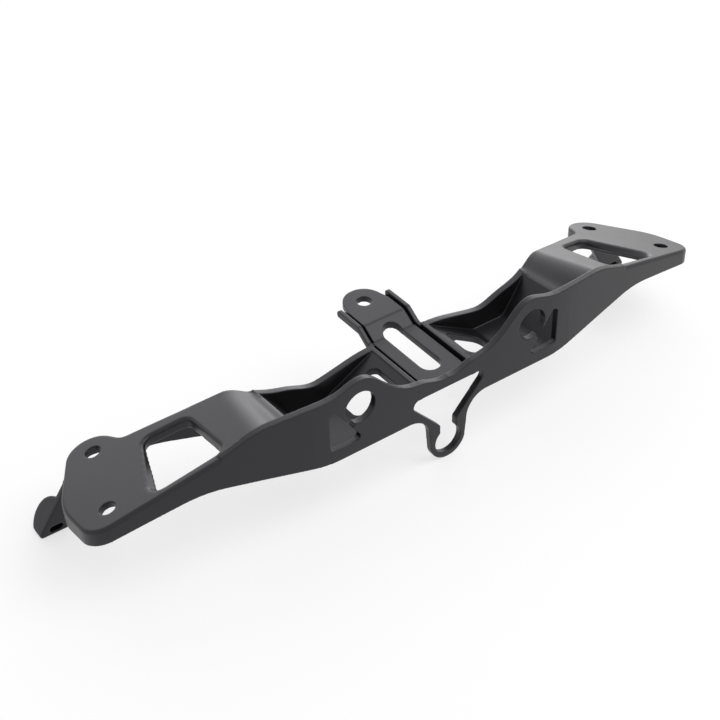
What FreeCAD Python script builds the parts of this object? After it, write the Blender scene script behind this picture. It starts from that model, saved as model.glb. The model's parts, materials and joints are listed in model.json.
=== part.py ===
import FreeCAD, Part
import math
import os

os.makedirs("parts", exist_ok=True)
V = FreeCAD.Vector

# Fairing stay, millimetres. X runs along the length, +Y to the rear, +Z up.
# The origin is the centre of the lug's bolt hole, on the lug's top face.
# One half is built on the +X side and mirrored, and the bridge joins the two.

# Wall and sheet thicknesses, and the least radius inside a bend of a sheet.
# The walls lean back as they rise, about the lean level.
wall = 3.0
sheet = 3.0
inside_round = 1.5
wall_lean = 0.04
lean_level = -10.0

# End plates: the plane they lie in, and their bolt holes
plate_height = 19.4
plate_fall_x = 0.249
plate_fall_y = 0.203
plate_edge_round = 1.4
bolt_hole = 6.6
rear_bolt_x = 133.5
rear_bolt_y = -2.3
front_bolt_x = 145.2
front_bolt_y = -37.2

# Plan outline
front_y = -58.5
back_y = -23.1
front_bend_x = 62.0
front_bend_round = 150.0
back_bend_x = 65.0
back_bend_round = 40.0
end_x = 157.2
end_front_y = -46.4
end_corner = 9.5
end_shoulder_y = -20.5
end_shoulder_round = 28.0
lobe = 10.8
lobe_end_angle = 30.2
lobe_side_angle = 155.8
notch_x = 121.5
notch_y = -4.7
notch_round = 5.0

# Lower edges of the skirts, (x, z, corner radius), along the front and the rear
skirt_level = -19.1
skirt_end_x = 175.0
front_skirt_y = -54.0
rear_skirt_y = -10.0
front_skirt = [(62.0, skirt_level, 60.0), (112.0, -8.9, 50.0), (skirt_end_x, -18.2)]
rear_skirt = [(68.0, skirt_level, 60.0), (114.0, -14.6, 40.0), (skirt_end_x, -30.0)]

# Sheet between the walls: slope, well floor, far slope, ledge, rise and crest, then the end plate.
# The front and rear values hold at the two walls. Behind hold_y the section only falls with the plate.
slope_top_x = 14.0
slope_top_z = -3.5
well_inner_x = 40.0
well_inner_round = 6.0
well_outer_x = 57.0
well_outer_round = 4.0
well_z = -17.2
ledge_x = 70.0
ledge_round = 1.0
ledge_front_z = 2.0
ledge_rear_z = -0.6
ledge_front_width = 5.0
ledge_rear_width = 3.0
rise_front_width = 11.0
rise_rear_width = 8.5
rise_front_round = 9.0
rise_rear_round = 3.0
crest_front_round = 18.0
crest_rear_round = 16.0
hold_y = -15.0
slope_hole = [(18.5, -31.5, 3.5), (36.9, -33.8, 4.0), (36.9, -46.0, 4.5), (18.5, -48.5, 3.0)]

# Top edges of the front and back walls, points of smooth curves (x, z).
# The lip by which the front wall stands above the end plate starts inside the wall, at lip_start_x,
# and dies out at the last point.
front_top = [(0.0, -3.6), (6.0, -3.2), (12.0, -1.2), (19.0, 0.0), (27.0, 3.8), (33.0, 9.0), (38.5, 14.0),
             (43.5, 15.7), (50.5, 14.1), (57.0, 12.5), (66.0, 12.1), (75.0, 11.7), (84.0, 11.2),
             (90.0, 10.1), (96.0, 7.9), (104.5, 4.6)]
lip_start_x = 60.0
back_top = [(13.0, -3.7), (28.0, -5.3), (38.0, -7.5), (44.8, -8.2), (55.6, -4.6), (64.5, -2.2),
            (ledge_x + 1.5, -0.1)]
back_corner = 6.0

# Opening in each half of the front wall: round eye, rounded triangle and the gap in the bar between them
eye_x = 44.6
eye_z = 2.7
eye = 7.2
triangle = [(59.2, 9.3, 2.0), (59.2, -13.2, 1.8), (43.2, -13.2, 1.8)]
gap = [(51.8, -2.0), (49.0, -5.9), (47.2, -4.6), (50.0, -0.7)]

# Centre of the front wall: the cut-out, its throat and the loop below it
centre_x = 26.0
cut_top_z = -8.3
cut_corner_x = 22.1
cut_corner = 3.0
throat = 4.2
throat_z = -27.4
throat_round = 0.8
loop_z = -36.7
loop = 9.2
loop_bore = 6.7
loop_shoulder_x = 10.8
loop_shoulder = 10.5

# Window in each end plate, (x, y, corner radius). A lip slopes in from the outer side of its rim:
# how far it reaches in at the front and at the rear, where it starts and where it ends below the plate
window = [(99.0, -18.6, 4.5), (116.6, -14.2, 4.5), (131.0, -45.3, 4.5), (100.0, -48.3, 4.5)]
window_edge_round = 1.6
window_rim = 2.2
window_depth = 4.8
window_lip_front = 3.4
window_lip_rear = 0.3
window_lip_start = 0.75
window_lip_end = 3.0

# Bridge between the halves, rising to the bolted lug
deck = 11.2
tongue = 10.5
tongue_z = -4.5
tongue_thick = 2.9
tongue_bend = 3.0
riser_front_y = -21.2
riser_rear_y = -14.4
lug = 9.3
lug_neck_y = -3.0
lug_neck_round = 3.0
lug_neck_angle = 22.0
lug_hole = 6.5
slot = 4.8
slot_front_y = -50.1
slot_rear_y = -16.6
rib_inner_x = 12.8
rib_outer_x = 15.0
rib_rise = 1.0
rib_depth = 5.0
flange_inner_x = 11.8
flange_outer_x = 13.8
flange_rise = 0.6
flange_depth = 2.6
flange_end_y = 0.8
flange_round = 1.2
groove_depth = 2.2
groove_floor = 1.2

# Feet under the end plates: a slanted web seen from the front, and a round ear behind it
foot_z = loop_z - loop
foot_top_x = 145.0
foot_top_z = -21.5
foot_tip_x = 161.2
foot_tip_height = 1.5
foot_tip_back = 1.0
foot_heel_x = 148.6
foot_root_x = 136.0
foot_root_rise = 4.0
foot_root_drop = 3.0
foot_round = 1.0
foot_front_y = -2.6
foot_web = 3.0
ear = 10.3
ear_x = 156.8
ear_z = -37.8
foot_slot = 2.4
foot_slot_x = 153.6
foot_slot_z = -43.2
foot_slot_length = 5.8
foot_slot_depth = 5.0

# Limits of the cutting shapes: how far they reach past the part and how far a half space goes, where the
# shapes of the front and back walls end, where the ruled surfaces start and end, the overlap with what
# they join, and how the cut above the sheet gets clear of the end plate
reach = 90.0
far = 360.0
front_zone_y = -40.0
opening_end_y = -45.0
ruled_front_y = -70.0
ruled_rear_y = 20.0
overlap = 1.0
clear_run = 30.0
clear_rise = 1.2


def plate_z(x, y):
    return plate_height - plate_fall_x * x - plate_fall_y * y


def in_plan(z):
    return lambda u, v: V(u, v, z)


def from_front(y):
    return lambda u, v: V(u, y, v)


def from_side(x):
    return lambda u, v: V(x, u, v)


def outline(points, place):
    """Closed wire through the points (u, v, corner radius), corners rounded."""
    count = len(points)
    stops = []
    for i, point in enumerate(points):
        here = V(point[0], point[1], 0)
        radius = point[2] if len(point) > 2 else 0
        if radius == 0:
            stops.append((here, None, here))
            continue
        to_last = V(points[i - 1][0], points[i - 1][1], 0) - here
        to_next = V(points[(i + 1) % count][0], points[(i + 1) % count][1], 0) - here
        half_angle = to_last.getAngle(to_next) / 2
        to_last.normalize()
        to_next.normalize()
        middle = to_last + to_next
        middle.normalize()
        tangent = radius / math.tan(half_angle)
        crown = here + middle * (radius / math.sin(half_angle) - radius)
        stops.append((here + to_last * tangent, crown, here + to_next * tangent))
    edges = []
    for i, (start, crown, end) in enumerate(stops):
        if crown is not None:
            arc = Part.Arc(place(start.x, start.y), place(crown.x, crown.y), place(end.x, end.y))
            edges.append(arc.toShape())
        following = stops[(i + 1) % count][0]
        if (following - end).Length > 1e-4:
            edges.append(Part.makeLine(place(end.x, end.y), place(following.x, following.y)))
    return Part.Wire(edges)


def prism(points, place, sweep):
    return Part.Face(outline(points, place)).extrude(sweep)


def plan_prism(points):
    return prism(points, in_plan(-reach), V(0, 0, 2 * reach))


def front_prism(points, low, high):
    return prism(points, from_front(low), V(0, high - low, 0))


def side_prism(points, low, high):
    return prism(points, from_side(low), V(high - low, 0, 0))


def box(low, high):
    return Part.makeBox(high.x - low.x, high.y - low.y, high.z - low.z, low)


def round_bar(radius, base, direction, length):
    return Part.makeCylinder(radius, length, base, direction)


def strip(path, thick):
    """Closed outline of a bent strip: the path is its top, thick is measured square to it."""
    below = []
    for i, point in enumerate(path):
        here = V(point[0], point[1], 0)
        before = here - V(path[max(i - 1, 0)][0], path[max(i - 1, 0)][1], 0)
        last = min(i + 1, len(path) - 1)
        after = V(path[last][0], path[last][1], 0) - here
        if before.Length == 0:
            before = after
        if after.Length == 0:
            after = before
        before.normalize()
        after.normalize()
        down = V(before.y + after.y, -before.x - after.x, 0)
        down = down / (1 + before.dot(after))
        moved = here + down * thick
        radius = point[2] if len(point) > 2 else 0
        turns_up = before.x * after.y - before.y * after.x > 0
        if radius and not turns_up:
            radius = max(radius - thick, inside_round)
        below.append((moved.x, moved.y, radius))
    return list(path) + below[::-1]


def ruled(section, stations):
    """Solid ruled from one section to the next, at each y of the stations."""
    wires = [outline(section(y), from_front(y)) for y in stations]
    return Part.makeLoft(wires, True, True)


def half_space(point, normal):
    """Large block on the side of the plane that the normal points to."""
    block = Part.makeBox(2 * far, 2 * far, far, V(-far, -far, 0))
    block.Placement = FreeCAD.Placement(point, FreeCAD.Rotation(V(0, 0, 1), normal))
    return block


plate_normal = V(plate_fall_x, plate_fall_y, 1)
plate_normal.normalize()


def above_plane(depth):
    """Everything higher than the end plate's plane lowered by the depth."""
    return half_space(V(0, 0, plate_height) - plate_normal * depth, plate_normal)


def below_skirts():
    """Everything lower than the lower edges of the front and rear skirts."""
    def section(y):
        share = (y - front_skirt_y) / (rear_skirt_y - front_skirt_y)
        points = [(-reach, skirt_level)]
        for near, far in zip(front_skirt, rear_skirt):
            x = near[0] + share * (far[0] - near[0])
            z = near[1] + share * (far[1] - near[1])
            points.append((x, z) + tuple(near[2:]))
        return points + [(points[-1][0], -reach), (-reach, -reach)]
    return ruled(section, (ruled_front_y, ruled_rear_y))


def along(y, front, rear):
    """Value at y of a size that changes evenly from the front wall to the back wall."""
    return rear + (front - rear) * (y - back_y) / (front_y - back_y)


def web_path(y):
    """Top line of the sheet at y, from the bridge out past the end of the plate."""
    at = min(y, hold_y)
    fall = plate_fall_y * (y - at)
    ledge_z = along(at, ledge_front_z, ledge_rear_z)
    rise_x = ledge_x + along(at, ledge_front_width, ledge_rear_width)
    rise_round = along(at, rise_front_round, rise_rear_round)
    crest_x = rise_x + along(at, rise_front_width, rise_rear_width)
    crest_round = along(at, crest_front_round, crest_rear_round)
    path = [(slope_top_x, slope_top_z),
            (well_inner_x, well_z, well_inner_round),
            (well_outer_x, well_z, well_outer_round),
            (ledge_x, ledge_z, ledge_round),
            (rise_x, ledge_z, rise_round),
            (crest_x, plate_z(crest_x, at), crest_round),
            (2 * reach, plate_z(2 * reach, at))]
    return [(point[0], point[1] - fall) + point[2:] for point in path]


def under_web(y):
    """Everything below the sheet."""
    path = web_path(y)
    lower = strip(path, sheet)[len(path):]
    return lower + [(slope_top_x, -reach), (2 * reach, -reach)]


def over_web(y):
    """Everything above the sheet; past the crest it rises clear of the end plate's plane."""
    to_crest = web_path(y)[:-1]
    crest = to_crest[-1]
    past = (crest[0] + clear_run, crest[1] - clear_run * plate_fall_x + clear_rise)
    return to_crest + [past, (past[0], reach), (slope_top_x, reach)]


def above_curve(points, low, high):
    """Everything above the smooth curve through the points (x, z), from y = low to y = high."""
    curve = Part.BSplineCurve()
    curve.interpolate([V(x, low, z) for x, z in points])
    first = V(points[0][0], low, points[0][1])
    last = V(points[-1][0], low, points[-1][1])
    corners = [last, V(last.x, low, reach), V(-reach, low, reach), V(-reach, low, first.z), first]
    face = Part.Face(Part.Wire([curve.toShape(), Part.makePolygon(corners)]))
    return face.extrude(V(0, high - low, 0))


# Plan outline of one half, carried past the mirror plane
lobe_angle = math.radians((lobe_end_angle + lobe_side_angle) / 2)
lobe_spread = math.radians((lobe_side_angle - lobe_end_angle) / 2)
lobe_x = rear_bolt_x + lobe / math.cos(lobe_spread) * math.cos(lobe_angle)
lobe_y = rear_bolt_y + lobe / math.cos(lobe_spread) * math.sin(lobe_angle)
plan = [(-reach, front_y), (front_bend_x, front_y, front_bend_round), (end_x, end_front_y, end_corner),
        (end_x, end_shoulder_y, end_shoulder_round), (lobe_x, lobe_y, lobe),
        (notch_x, notch_y, notch_round), (back_bend_x, back_y, back_bend_round), (-reach, back_y)]
sweep = V(0, 2 * reach * wall_lean, 2 * reach)
outer_wire = outline(plan, in_plan(-reach))
outer_wire.translate(V(0, wall_lean * (-reach - lean_level), 0))
inner_wire = outer_wire.makeOffset2D(-wall)
outer = Part.Face(outer_wire).extrude(sweep)
inner = Part.Face(inner_wire).extrude(sweep)
walls = outer.cut(inner)

# Solid block under the end plate's plane, its top edges rounded
window_wire = outline(window, in_plan(-reach))
window_hole = Part.Face(window_wire).extrude(V(0, 0, 2 * reach))
block = outer.cut(above_plane(0)).cut(below_skirts()).cut(window_hole)
window_bounds = window_hole.BoundBox
window_bounds.enlarge(overlap)


def plate_edges(of_window):
    """Edges of the block on the end plate's plane: round its window, or round its outline."""
    found = []
    for edge in block.Edges:
        points = edge.discretize(5)
        flat = all(abs(p.z - plate_z(p.x, p.y)) < 0.01 for p in points)
        near_window = all(window_bounds.isInside(p) for p in points)
        outside = all(p.x < overlap - reach for p in points)
        if flat and near_window == of_window and not outside:
            found.append(edge)
    return found


block = block.makeFillet(plate_edge_round, plate_edges(False))
block = block.makeFillet(window_edge_round, plate_edges(True))
block = block.cut(box(V(-2 * reach, -2 * reach, -2 * reach), V(-5 * overlap, 2 * reach, 2 * reach)))

# Window rim below the end plate
window_rim_wall = Part.Face(window_wire.makeOffset2D(window_rim)).extrude(V(0, 0, 2 * reach))
window_rim_wall = window_rim_wall.common(above_plane(window_depth))

# Lip on the outer side of the rim
side_rear = V(window[1][0], window[1][1], 0)
side_front = V(window[2][0], window[2][1], 0)
along_side = side_front - side_rear
along_side.normalize()
inwards = V(along_side.y, -along_side.x, 0)


def in_window(corner, reach_in, depth):
    """Point this far in from a corner of the window's outer side, and this deep below the plate."""
    point = corner + inwards * reach_in
    return point + V(0, 0, plate_z(point.x, point.y) - depth)


lip_top = in_window(side_front, 0, window_lip_start)
lip_front = in_window(side_front, window_lip_front, window_lip_end)
lip_rear = in_window(side_rear, window_lip_rear, window_lip_end)
lip_normal = (lip_rear - lip_top).cross(lip_front - lip_top)
window_lip = Part.Face(window_wire.makeOffset2D(window_edge_round / 2)).extrude(V(0, 0, 2 * reach))
window_lip = window_lip.common(above_plane(window_lip_end)).cut(half_space(lip_top, lip_normal))

# Space above the sheet, open to the rear over the ledge, and the hollow below it
stations = (ruled_front_y, hold_y, ruled_rear_y)
behind = box(V(ledge_x + overlap, front_zone_y, -2 * reach), V(2 * reach, 2 * reach, 2 * reach))
trough = ruled(over_web, stations).common(inner.fuse(behind))
hollow = ruled(under_web, stations).common(inner).cut(window_rim_wall)
middle = inner.common(box(V(-reach, -2 * reach, -2 * reach), V(slope_top_x, 2 * reach, 2 * reach)))
block = block.cut(trough).cut(hollow).cut(middle).cut(plan_prism(slope_hole))

# Lip of the front wall, then the top edges of both walls
lip_zone = box(V(lip_start_x, -reach, ledge_rear_z), V(front_top[-1][0], front_zone_y, reach / 4))
block = block.fuse(walls.common(lip_zone))
over_front = above_curve(front_top, -reach, front_zone_y)
over_back = above_curve(back_top, back_y - wall - overlap, reach)
behind_bridge = [(-reach, reach), (rib_inner_x, reach), (rib_inner_x, skirt_level + back_corner),
                 (rib_inner_x + 2 * back_corner, skirt_level - back_corner),
                 (-reach, skirt_level - back_corner)]
behind_bridge = front_prism(behind_bridge, front_zone_y, reach)
block = block.cut(over_front).cut(over_back).cut(behind_bridge)

# Openings of the front wall
openings = round_bar(eye, V(eye_x, -reach, eye_z), V(0, 1, 0), reach + opening_end_y)
openings = openings.fuse(front_prism(triangle, -reach, opening_end_y))
openings = openings.fuse(front_prism(gap, -reach, opening_end_y))

# Centre of the front wall and the loop
centre = [(-overlap, cut_top_z - wall), (centre_x, cut_top_z - wall), (centre_x, skirt_level),
          (loop_shoulder_x, skirt_level, loop_shoulder), (loop, loop_z), (-overlap, loop_z)]
loop_bar = round_bar(loop, V(0, -reach, loop_z), V(0, 1, 0), reach + front_zone_y)
front_centre = walls.common(front_prism(centre, -reach, front_zone_y).fuse(loop_bar))
cut_out = [(-reach, cut_top_z), (cut_corner_x, cut_top_z, cut_corner), (throat, throat_z, throat_round),
           (throat, loop_z), (-reach, loop_z)]
cut_out = front_prism(cut_out, -reach, opening_end_y)
cut_out = cut_out.fuse(round_bar(loop_bore, V(0, -reach, loop_z), V(0, 1, 0), reach + opening_end_y))

# Foot below the end plate
foot = [(foot_root_x, foot_top_z + foot_root_rise), (foot_top_x, foot_top_z),
        (foot_tip_x, foot_z + foot_tip_height, foot_round), (foot_tip_x - foot_tip_back, foot_z, foot_round),
        (foot_heel_x, foot_z, foot_round), (foot_root_x, foot_top_z - foot_root_drop)]
slant = V(foot_z + foot_tip_height - foot_top_z, 0, foot_top_x - foot_tip_x)
slant.normalize()
ear_bar = round_bar(ear, V(ear_x, foot_front_y, ear_z) - slant * reach, slant, 2 * reach)
foot_block = front_prism(foot, foot_front_y, foot_front_y + ear).common(ear_bar)
foot_block = foot_block.fuse(front_prism(foot, foot_front_y, foot_front_y + foot_web))
slot_half = foot_slot_length / 2 - foot_slot / 2
foot_slot_back = foot_front_y + foot_slot_depth
for x in (foot_slot_x - slot_half, foot_slot_x + slot_half):
    base = V(x, foot_front_y - overlap, foot_slot_z)
    foot_block = foot_block.cut(round_bar(foot_slot / 2, base, V(0, 1, 0), foot_slot_depth + overlap))
slot_low = V(foot_slot_x - slot_half, foot_front_y - overlap, foot_slot_z - foot_slot / 2)
slot_high = V(foot_slot_x + slot_half, foot_slot_back, foot_slot_z + foot_slot / 2)
foot_block = foot_block.cut(box(slot_low, slot_high))

# One half
half = block.fuse(window_lip).fuse(front_centre).fuse(foot_block)
half = half.cut(openings).cut(cut_out)
for x, y in ((rear_bolt_x, rear_bolt_y), (front_bolt_x, front_bolt_y)):
    base = V(x, y, plate_z(x, y)) - plate_normal * clear_run
    half = half.cut(round_bar(bolt_hole / 2, base, plate_normal, 2 * clear_run))
half = half.common(box(V(0, -2 * reach, -2 * reach), V(4 * reach, 2 * reach, 2 * reach)))

# Bridge: deck, riser and tongue with the lug, in one bent strip
bridge_start_y = front_y + overlap
bridge_path = [(bridge_start_y, tongue_z), (riser_front_y, tongue_z, tongue_bend),
               (riser_rear_y, 0, tongue_bend), (lug + overlap, 0)]
bridge = side_prism(strip(bridge_path, tongue_thick), -deck, deck)
neck_angle = math.radians(lug_neck_angle)
bridge_side = [(deck, front_y), (deck, riser_front_y), (tongue, riser_front_y),
               (tongue, lug_neck_y, lug_neck_round),
               (lug * math.cos(neck_angle), lug * math.sin(neck_angle))]
bridge_plan = bridge_side + [(-point[0],) + point[1:] for point in bridge_side[::-1]]
lug_bar = round_bar(lug, V(0, 0, -reach), V(0, 0, 1), 2 * reach)
bridge = bridge.common(plan_prism(bridge_plan).fuse(lug_bar))
bridge = bridge.cut(round_bar(lug_hole / 2, V(0, 0, -reach), V(0, 0, 1), 2 * reach))

# Ribs beside the deck, flanges beside the riser and the tongue, and the floors of the grooves between
rib_end_y = riser_front_y - overlap
rib = [(bridge_start_y, tongue_z + rib_rise), (rib_end_y, tongue_z + rib_rise, rib_rise),
       (rib_end_y, tongue_z - rib_depth), (bridge_start_y, tongue_z - rib_depth)]
rib_floor = [(bridge_start_y, tongue_z - groove_depth), (rib_end_y, tongue_z - groove_depth),
             (rib_end_y, tongue_z - groove_depth - groove_floor),
             (bridge_start_y, tongue_z - groove_depth - groove_floor)]
flange_start_y = riser_front_y - flange_depth
flange = [(flange_start_y, tongue_z + flange_rise), (riser_front_y, tongue_z + flange_rise, tongue_bend),
          (riser_rear_y, flange_rise, tongue_bend), (flange_end_y, flange_rise, flange_round),
          (flange_end_y, -flange_depth, flange_round), (riser_rear_y, -flange_depth, flange_round),
          (riser_front_y, tongue_z - flange_depth, flange_round), (flange_start_y, tongue_z - flange_depth)]
floor_path = [(bridge_start_y, tongue_z - groove_depth),
              (riser_front_y, tongue_z - groove_depth, tongue_bend),
              (riser_rear_y, -groove_depth, tongue_bend), (flange_end_y, -groove_depth)]
floor = strip(floor_path, groove_floor)
for side in (1, -1):
    bridge = bridge.fuse(side_prism(rib, side * rib_inner_x, side * rib_outer_x))
    bridge = bridge.fuse(side_prism(rib_floor, side * (deck - overlap), side * (rib_inner_x + overlap / 2)))
    bridge = bridge.fuse(side_prism(flange, side * flange_inner_x, side * flange_outer_x))
    bridge = bridge.fuse(side_prism(floor, side * (lug - 2 * overlap), side * (flange_inner_x + overlap / 2)))

# Slot through the deck, from the front wall up into the riser
slot_ends = (slot_front_y + slot, slot_rear_y - slot)
slot_cut = box(V(-slot, slot_ends[0], -reach), V(slot, slot_ends[1], reach))
for y in slot_ends:
    slot_cut = slot_cut.fuse(round_bar(slot, V(0, y, -reach), V(0, 0, 1), 2 * reach))

body = half.fuse(half.mirror(V(0, 0, 0), V(1, 0, 0))).fuse(bridge).cut(slot_cut)
body = body.removeSplitter()
print("solids", len(body.Solids), "valid", body.isValid(), "volume", round(body.Volume), body.BoundBox)
body.exportStep("parts/fairing_stay.step")
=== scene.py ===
# %% [markdown]
# A fairing stay is the cast bar that carries a motorbike's fairing and headlamp. This lesson dresses the
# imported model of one: the casting gets its softened edges, its satin black coating, and a plain studio.

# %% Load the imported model
import json

import bpy
import numpy as np
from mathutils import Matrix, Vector

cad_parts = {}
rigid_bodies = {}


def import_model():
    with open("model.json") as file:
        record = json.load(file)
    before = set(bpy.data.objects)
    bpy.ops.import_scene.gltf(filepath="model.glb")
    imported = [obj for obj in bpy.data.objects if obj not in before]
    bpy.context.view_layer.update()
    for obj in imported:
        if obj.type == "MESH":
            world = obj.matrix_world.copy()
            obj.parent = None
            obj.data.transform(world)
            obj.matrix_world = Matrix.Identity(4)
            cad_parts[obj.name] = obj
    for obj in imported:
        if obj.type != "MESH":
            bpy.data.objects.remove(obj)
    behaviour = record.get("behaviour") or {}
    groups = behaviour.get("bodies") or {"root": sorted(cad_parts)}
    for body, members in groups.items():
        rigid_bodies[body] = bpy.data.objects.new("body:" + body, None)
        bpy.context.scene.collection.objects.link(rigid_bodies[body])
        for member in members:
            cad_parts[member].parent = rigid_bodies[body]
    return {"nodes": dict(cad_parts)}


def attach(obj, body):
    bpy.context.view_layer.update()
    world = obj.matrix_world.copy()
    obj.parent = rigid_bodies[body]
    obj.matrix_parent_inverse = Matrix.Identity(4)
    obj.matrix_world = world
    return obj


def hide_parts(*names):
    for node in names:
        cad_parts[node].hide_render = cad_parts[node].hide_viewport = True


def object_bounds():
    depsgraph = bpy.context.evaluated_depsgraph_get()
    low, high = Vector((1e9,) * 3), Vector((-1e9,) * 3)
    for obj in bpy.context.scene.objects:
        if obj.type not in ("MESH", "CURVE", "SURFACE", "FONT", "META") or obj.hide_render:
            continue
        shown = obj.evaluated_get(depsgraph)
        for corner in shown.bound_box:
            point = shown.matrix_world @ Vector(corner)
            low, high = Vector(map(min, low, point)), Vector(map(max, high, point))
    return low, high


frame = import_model()
cad_low, cad_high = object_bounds()
stay_node = frame["nodes"]["fairing_stay"]
print("CAD box in mm", [round(1000 * side, 1) for side in cad_high - cad_low])

# %% [markdown]
# A casting has no sharp edges: metal doesn't fill a sharp corner, and the coating softens what is left.
# A bevel on every edge would fold over itself where short edges meet. So the skin of a copy is remade from
# small even faces, which keep the edges crisp, and a few smoothing passes then round all edges and inner
# corners off by about the same amount.

# %% Copy the casting and merge its loose triangles
MM = 0.001
WELD = 0.002 * MM

bpy.ops.object.select_all(action="DESELECT")
casting = bpy.data.objects.new("casting", stay_node.data.copy())
bpy.context.scene.collection.objects.link(casting)
bpy.context.view_layer.objects.active = casting
casting.select_set(True)
bpy.ops.object.mode_set(mode="EDIT")
bpy.ops.mesh.select_all(action="SELECT")
bpy.ops.mesh.remove_doubles(threshold=WELD)
bpy.ops.object.mode_set(mode="OBJECT")
print("merged casting", len(casting.data.vertices), "corners", len(casting.data.polygons), "faces")

# %% Remake the skin from small even faces and soften it
SKIN_LEVELS = 10
SKIN_FIT = 0.99
SMOOTHING = 0.5
SOFTENING_PASSES = 5


def apply_modifier(piece, kind, **settings):
    """Adds one modifier to the piece with these settings and applies it."""
    modifier = piece.modifiers.new(kind.lower(), kind)
    for name, value in settings.items():
        setattr(modifier, name, value)
    bpy.context.view_layer.objects.active = piece
    bpy.ops.object.modifier_apply(modifier=modifier.name)


apply_modifier(casting, "REMESH", mode="SHARP", octree_depth=SKIN_LEVELS, scale=SKIN_FIT, sharpness=1.0)
apply_modifier(casting, "SMOOTH", factor=SMOOTHING, iterations=SOFTENING_PASSES)
print("remade skin", len(casting.data.polygons), "faces")

# %% [markdown]
# On the real stay the sheet rolls softly up out of each well into the end plate, and the rims of the windows
# and the feet are rounder than the other edges. The faces there are chosen by their place in millimetres, the
# same in both halves, and smoothed by more passes. A vertex group keeps the rest of the skin as it is. On the
# crests a margin of faces is left out, so that the walls beside them keep their edges.

# %% Where the skin is rounder
CREST_X = (69, 97)
CREST_UP = 0.5
RIM_X = (95, 135)
RIM_REAR_Y = -11
RIM_LOW_Z = -12
RIM_FROM_EDGE = 3
FRONT_BEND = (62, -58.5)
FRONT_SWEEP = 0.127
LIP_CORNER = (116.6, -14.2)
LIP_INWARD = (-0.9075, -0.42)
LIP_ACROSS = (-3, 5)
LIP_Y = (-46, -15)
LIP_DEPTH = 3.6
PLATE_HEIGHT = 19.4
PLATE_FALL = (0.249, 0.203)
FOOT_X = 147
FOOT_TOP_Z = -23


def between(value, limits):
    """True where the value lies between the two limits."""
    return (value > limits[0]) & (value < limits[1])


def on_crest(x, y, z, up):
    """Where the sheet rolls up out of a well into the end plate."""
    return between(x, CREST_X) & (up > CREST_UP)


def on_window_rim(x, y, z, up):
    """All round a window, clear of the plate's front edge."""
    front_edge = FRONT_BEND[1] + FRONT_SWEEP * (x - FRONT_BEND[0])
    return between(x, RIM_X) & (y > front_edge + RIM_FROM_EDGE) & (y < RIM_REAR_Y) & (z > RIM_LOW_Z)


def on_window_lip(x, y, z, up):
    """The sloping lip along the outer side of a window."""
    inward = LIP_INWARD[0] * (x - LIP_CORNER[0]) + LIP_INWARD[1] * (y - LIP_CORNER[1])
    plate_z = PLATE_HEIGHT - PLATE_FALL[0] * x - PLATE_FALL[1] * y
    return between(inward, LIP_ACROSS) & between(y, LIP_Y) & (z > plate_z - LIP_DEPTH)


def on_foot(x, y, z, up):
    """The foot below an end plate."""
    return (x > FOOT_X) & (z < FOOT_TOP_Z)


# %% Roll the crests, window rims and feet off further
CREST_PASSES = 160
CREST_MARGIN = 5
RIM_PASSES = 16
LIP_PASSES = 70
FOOT_PASSES = 24


def face_values(piece, name, width, kind):
    """One property of all the faces, as rows of this many values."""
    values = np.empty(width * len(piece.data.polygons), kind)
    piece.data.polygons.foreach_get(name, values)
    return values.reshape(-1, width)


def soften(piece, name, chosen, margin, passes):
    """Smooths the chosen faces, less a margin of a few faces, and leaves the rest of the skin alone."""
    x, y, z = face_values(piece, "center", 3, np.float32).T / MM
    up = face_values(piece, "normal", 3, np.float32)[:, 2]
    bpy.ops.object.mode_set(mode="EDIT")
    bpy.ops.mesh.select_mode(type="FACE")
    bpy.ops.mesh.select_all(action="DESELECT")
    bpy.ops.object.mode_set(mode="OBJECT")
    piece.data.polygons.foreach_set("select", chosen(abs(x), y, z, up))
    bpy.ops.object.mode_set(mode="EDIT")
    for _ in range(margin):
        bpy.ops.mesh.select_less()
    piece.vertex_groups.new(name=name)
    bpy.ops.object.vertex_group_assign()
    bpy.ops.object.mode_set(mode="OBJECT")
    print(name, face_values(piece, "select", 1, bool).sum(), "faces smoothed")
    apply_modifier(piece, "SMOOTH", factor=SMOOTHING, iterations=passes, vertex_group=name)


soften(casting, "crests", on_crest, CREST_MARGIN, CREST_PASSES)
soften(casting, "window_rims", on_window_rim, 0, RIM_PASSES)
soften(casting, "window_lips", on_window_lip, 0, LIP_PASSES)
soften(casting, "feet", on_foot, 0, FOOT_PASSES)
casting.vertex_groups.clear()

# %% [markdown]
# The remade skin has far more faces than its shape needs. Decimate merges those that lie almost flat, and
# weighted normals then let the large faces set the shading, so that flat plates look flat up to their edges.

# %% Thin the skin and even its shading
MOST_TRIANGLES = 170000
FACE_WEIGHT = 100

triangles = sum(len(face.vertices) - 2 for face in casting.data.polygons)
apply_modifier(casting, "DECIMATE", ratio=min(1.0, MOST_TRIANGLES / triangles))
bpy.ops.object.shade_smooth()
apply_modifier(casting, "WEIGHTED_NORMAL", weight=FACE_WEIGHT, keep_sharp=False)
print("softened skin", len(casting.data.polygons), "faces, from", triangles, "triangles")

# %% [markdown]
# Shader maths reads best as maths. This small class wraps a node's output, so that `0.3 + patches * 0.06`
# adds the Math nodes it stands for, and one method adds any other node. A socket is given by its name, or by
# its number after an underscore.

# %% A class for shader maths


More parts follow.
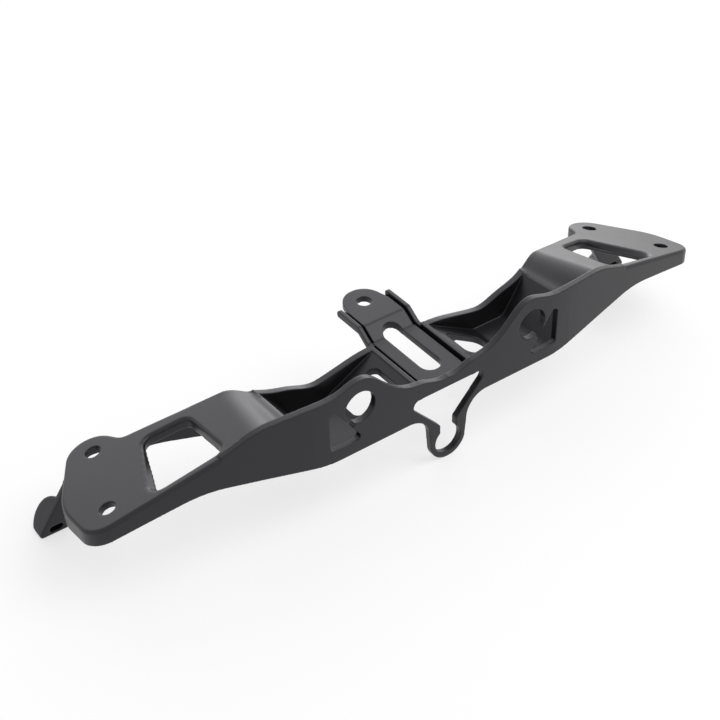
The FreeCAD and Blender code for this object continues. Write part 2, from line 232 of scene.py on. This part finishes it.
class Wire:
    """One output of a material's nodes, with operators that add Math nodes."""

    def __init__(self, tree, socket):
        self.tree = tree
        self.socket = socket

    def node(self, kind, settings=None, output=0, **sockets):
        """Adds a node, with its settings first and then its sockets' values or links."""
        made = self.tree.nodes.new(kind)
        for name, value in (settings or {}).items():
            setattr(made, name, value)
        for name, value in sockets.items():
            target = made.inputs[int(name[1:]) if name[1:].isdigit() else name]
            if isinstance(value, Wire):
                self.tree.links.new(value.socket, target)
            else:
                target.default_value = value
        return Wire(self.tree, made.outputs[output])

    def maths(self, operation, first, second):
        """Adds a Math node on two values or outputs."""
        return self.node("ShaderNodeMath", {"operation": operation}, _0=first, _1=second)

    def feed(self, target):
        """Links this output to a socket."""
        self.tree.links.new(self.socket, target)

    def __add__(self, other):
        return self.maths("ADD", self, other)

    def __radd__(self, other):
        return self.maths("ADD", other, self)

    def __mul__(self, other):
        return self.maths("MULTIPLY", self, other)

    def __rmul__(self, other):
        return self.maths("MULTIPLY", other, self)


def new_material(name):
    """A node material, its Principled shader and its Object coordinates."""
    material = bpy.data.materials.new(name)
    material.use_nodes = True
    tree = material.node_tree
    shader = tree.nodes["Principled BSDF"]
    place = Wire(tree, tree.nodes.new("ShaderNodeTexCoord").outputs["Object"])
    return material, shader, place


# %% [markdown]
# The finish is a satin black coat. Its colour is so deep that nearly all that shows is the sheen, which is a
# little cool. The coat is almost even, with a fine pebbled grain and slow patches that are a little lighter
# and rougher than the rest. Noise on Object coordinates gives both, so they stay in place on the casting.

# %% The satin black coating
COAT_BLACK = (0.0040, 0.0040, 0.0044, 1.0)
COAT_WORN = (0.0058, 0.0058, 0.0063, 1.0)
COAT_SHEEN = (0.93, 0.92, 1.0, 1.0)
SHEEN_LEVEL = 0.43
PEBBLE = 0.7 * MM
PEBBLE_HEIGHT = 0.05 * MM
PEBBLE_RELIEF = 0.25
PATCH = 22 * MM
SMOOTHEST = 0.30
PATCH_ROUGHNESS = 0.06
PEBBLE_ROUGHNESS = 0.06


def satin_black_coat():
    """A deep black coat with a cool satin sheen, pebbled and slightly patchy."""
    material, shader, place = new_material("satin_black_coat")
    pebbles = place.node("ShaderNodeTexNoise", Vector=place, Scale=1 / PEBBLE, Detail=3.0, Roughness=0.55)
    patches = place.node("ShaderNodeTexNoise", Vector=place, Scale=1 / PATCH, Detail=2.0, Roughness=0.5)
    tone = place.node("ShaderNodeMix", {"data_type": "RGBA"}, output=2,
                      _0=patches, _6=COAT_BLACK, _7=COAT_WORN)
    roughness = SMOOTHEST + patches * PATCH_ROUGHNESS + pebbles * PEBBLE_ROUGHNESS
    relief = place.node("ShaderNodeBump", Strength=PEBBLE_RELIEF, Distance=PEBBLE_HEIGHT, Height=pebbles)
    shader.inputs["Specular IOR Level"].default_value = SHEEN_LEVEL
    shader.inputs["Specular Tint"].default_value = COAT_SHEEN
    tone.feed(shader.inputs["Base Color"])
    roughness.feed(shader.inputs["Roughness"])
    relief.feed(shader.inputs["Normal"])
    return material


casting.data.materials.clear()
casting.data.materials.append(satin_black_coat())
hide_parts("fairing_stay")
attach(casting, "root")
print("coated", casting.name)

# %% [markdown]
# The stay stands on white paper. The floor lies at its lowest point, so the loop and the feet rest on it and
# leave a soft shadow. A white floor could be had by more light, but that would bleach the stay too. Instead,
# part of the paper's white glows, only for rays from the camera or off a glossy or clear surface, and the
# rest is lit as paper is and keeps the shadow.

# %% A white floor
FLOOR_WIDTH = 200.0
FLOOR_WHITE = (0.94, 0.94, 0.94, 1.0)
PAPER_ROUGHNESS = 0.9
PAPER_SHEEN = 0.1
SHADOW_LIFT = 0.64
SEEN_BY = ("Is Camera Ray", "Is Glossy Ray", "Is Transmission Ray")


def seen_directly(wire):
    """1 for rays from the camera and for those that a glossy or clear surface sends on."""
    ray = wire.tree.nodes.new("ShaderNodeLightPath")
    camera_ray, glossy_ray, clear_ray = [Wire(wire.tree, ray.outputs[name]) for name in SEEN_BY]
    return wire.maths("MAXIMUM", camera_ray, wire.maths("MAXIMUM", glossy_ray, clear_ray))


def white_paper():
    """White paper whose white partly glows where it is seen."""
    material, shader, place = new_material("white_paper")
    shader.inputs["Base Color"].default_value = FLOOR_WHITE
    shader.inputs["Roughness"].default_value = PAPER_ROUGHNESS
    shader.inputs["Specular IOR Level"].default_value = PAPER_SHEEN
    sheet = Wire(place.tree, shader.outputs["BSDF"])
    glow = place.node("ShaderNodeEmission", Strength=1.0)
    lift = place.node("ShaderNodeMixShader", _0=seen_directly(place) * SHADOW_LIFT, _1=sheet, _2=glow)
    lift.feed(place.tree.nodes["Material Output"].inputs["Surface"])
    return material


bpy.ops.object.select_all(action="DESELECT")
bpy.ops.mesh.primitive_plane_add(size=FLOOR_WIDTH, location=(0, 0, cad_low.z))
floor = bpy.context.object
floor.name = "floor"
floor.data.materials.append(white_paper())
print("floor at", round(cad_low.z / MM, 1), "mm")

# %% [markdown]
# A dark satin surface shows mostly what it reflects, so black parts are lit by large soft sources. The room
# is white where it is seen, and gives a little less light than that to everything else. A wide panel behind
# the stay puts the sheen on the plates and the lug, a smaller one low on the right adds to the right-hand
# plate, and one overhead draws the front edges.

# %% The pale room
WHITE = (1.0, 1.0, 1.0, 1.0)
ROOM_LIGHT = 0.70
ROOM_SEEN = 1.0

world = bpy.data.worlds.new("pale_room")
bpy.context.scene.world = world
world.use_nodes = True
room = world.node_tree
room.nodes["Background"].inputs["Color"].default_value = WHITE
room.nodes["Background"].inputs["Strength"].default_value = ROOM_LIGHT
lit_room = Wire(room, room.nodes["Background"].outputs["Background"])
white_room = lit_room.node("ShaderNodeBackground", Color=WHITE, Strength=ROOM_SEEN)
walls = lit_room.node("ShaderNodeMixShader", _0=seen_directly(lit_room), _1=lit_room, _2=white_room)
walls.feed(room.nodes["World Output"].inputs["Surface"])
print("room lights at", ROOM_LIGHT, "and is seen at", ROOM_SEEN)

# %% The lamps
# Each panel's place from the middle of the stay in metres, its side in metres and its power in watts
PANELS = {
    "back_panel": ((0.59, 1.26, 0.56), 2.0, 11.5),
    "right_panel": ((0.95, 1.2, 0.12), 0.8, 3.5),
    "top_panel": ((0.60, -0.45, 1.1), 0.9, 7.0),
}
middle = (cad_low + cad_high) / 2


def aim(thing, target):
    """Turns a lamp or camera to look at the target."""
    thing.rotation_euler = (target - thing.location).to_track_quat("-Z", "Y").to_euler()


def soft_panel(name, place, side, power):
    """A square area lamp that faces the middle of the stay and doesn't show in the picture."""
    lamp = bpy.data.lights.new(name, "AREA")
    lamp.size = side
    lamp.energy = power
    panel = bpy.data.objects.new(name, lamp)
    bpy.context.scene.collection.objects.link(panel)
    panel.location = middle + Vector(place)
    aim(panel, middle)
    panel.visible_camera = False


for name, (place, side, power) in PANELS.items():
    soft_panel(name, place, side, power)
    print(name, power, "W")

# %% [markdown]
# The camera stands in front of the left-hand end and looks down over the bar. Its place comes from the
# mirror symmetry of the stay: lines that join matching points of the two halves all run the same way, so in
# the picture they meet at one vanishing point.

# %% The camera
CAMERA_PLACE = Vector((-0.2797, -0.3766, 0.3450))
CAMERA_AIM = Vector((0.0, 0.0029, -0.0345))
LENS = 67.5
SENSOR = 36.0

camera_data = bpy.data.cameras.new("camera")
camera_data.lens = LENS
camera_data.sensor_width = SENSOR
camera = bpy.data.objects.new("camera", camera_data)
bpy.context.scene.collection.objects.link(camera)
camera.location = CAMERA_PLACE
aim(camera, CAMERA_AIM)
bpy.context.scene.camera = camera
bpy.context.scene.view_settings.view_transform = "Standard"
print("camera", round((CAMERA_AIM - CAMERA_PLACE).length / MM), "mm from where it aims")
